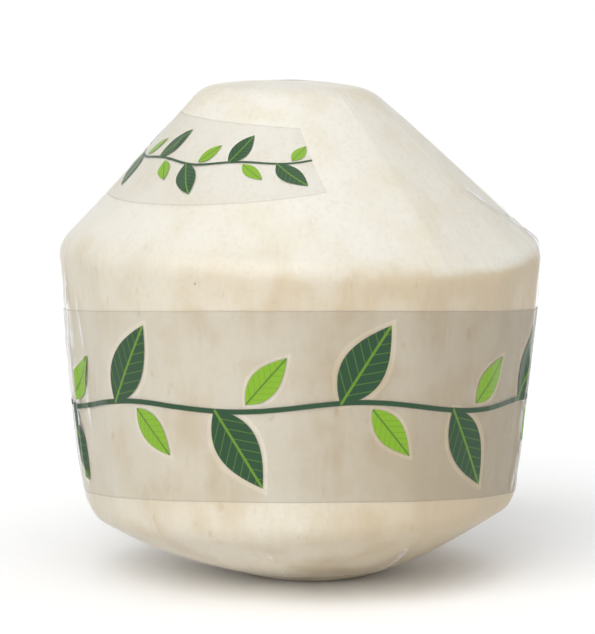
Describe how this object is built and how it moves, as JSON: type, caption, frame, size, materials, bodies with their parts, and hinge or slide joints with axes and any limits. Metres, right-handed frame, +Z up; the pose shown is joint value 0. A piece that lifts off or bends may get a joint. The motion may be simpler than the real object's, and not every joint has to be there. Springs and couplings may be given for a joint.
{
  "type": "trimmed young coconut",
  "caption": "Young coconut trimmed to its pale husk, with a cone top, soft shoulder and domed base, in clear film with see-through band and fan labels.",
  "frame": {"origin": "under the middle of the whole, on the plane that the flat spot under the fruit stands on", "axes": "+Z up along the fruit, -Y out of its front, +X to the right of someone looking at the front"},
  "size_m": [0.1182, 0.1188, 0.1212],
  "materials": {
    "husk": "pale cut husk, matt, with fine fibres",
    "clear_film": "clear glossy film",
    "label_film": "tinted see-through label film, printed"
  },
  "bodies": {
    "root": {"coconut": "husk", "film": "clear_film", "band_label": "label_film", "top_label": "label_film"}
  },
  "joints": []
}
